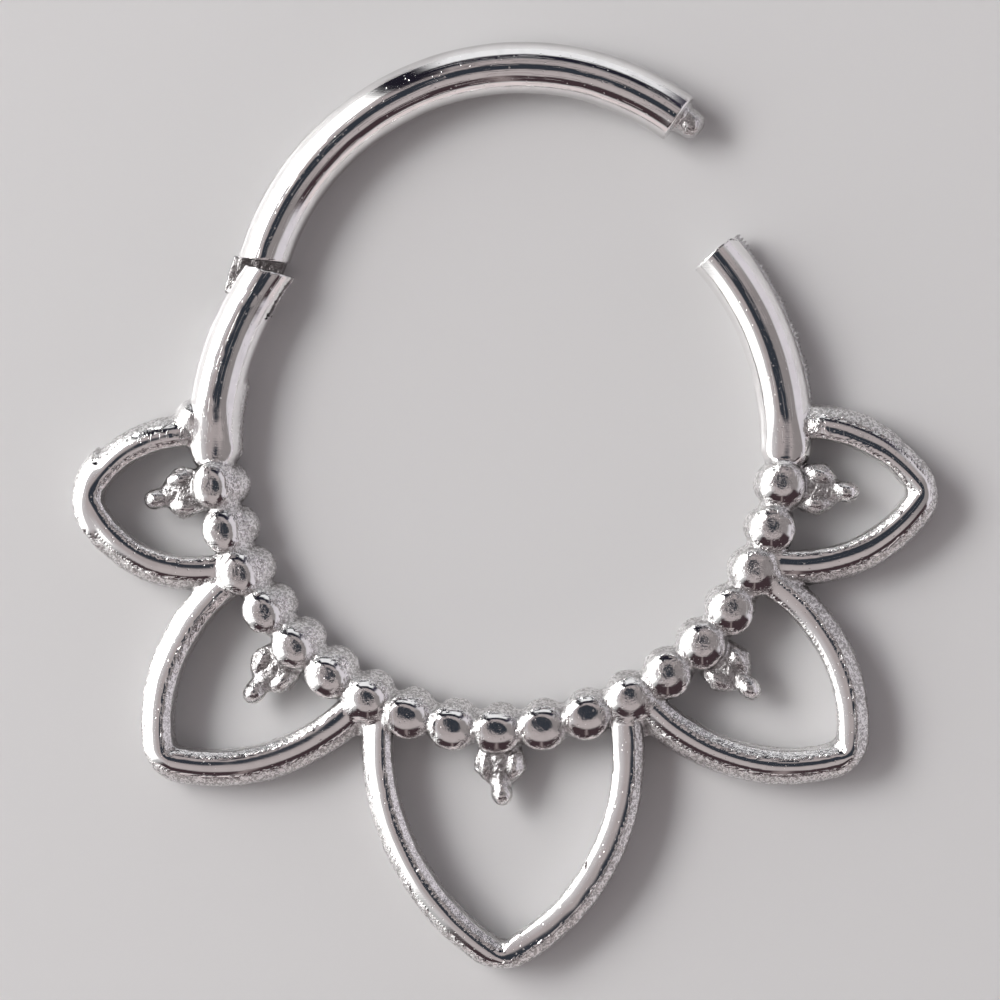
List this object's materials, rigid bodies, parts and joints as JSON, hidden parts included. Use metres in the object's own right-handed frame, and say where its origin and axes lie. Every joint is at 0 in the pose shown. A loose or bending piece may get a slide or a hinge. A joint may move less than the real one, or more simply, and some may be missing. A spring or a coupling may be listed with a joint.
{
  "type": "hinged clicker ring",
  "caption": "Hinged body ring with a plain round wire arm and a cast lower half of beads, open lotus petals and small trefoils.",
  "frame": {"origin": "centre of the ring, in the middle of the wire's thickness", "axes": "+Z is the ring's axis, out of the polished front; the petals point to -Y, the hinge is at -X and the catch at +X, +Y"},
  "size_m": [0.02, 0.0213, 0.0012],
  "materials": {
    "cast_silver": "polished crests and beads over frosted cast flanks",
    "wire_silver": "mirror polished",
    "pin_silver": "polished flush with the wire"
  },
  "bodies": {
    "bow": {"petal_bow": "cast_silver", "hinge_pin": "pin_silver"},
    "arm": {"swing_arm": "wire_silver"}
  },
  "joints": [
    {"name": "arm_hinge", "type": "hinge", "parent": "bow", "child": "arm", "pos_m": [-0.00572, 0.0033, 0], "axis": [0, 0, 1], "range_deg": [-16.7, 53.3]}
  ]
}
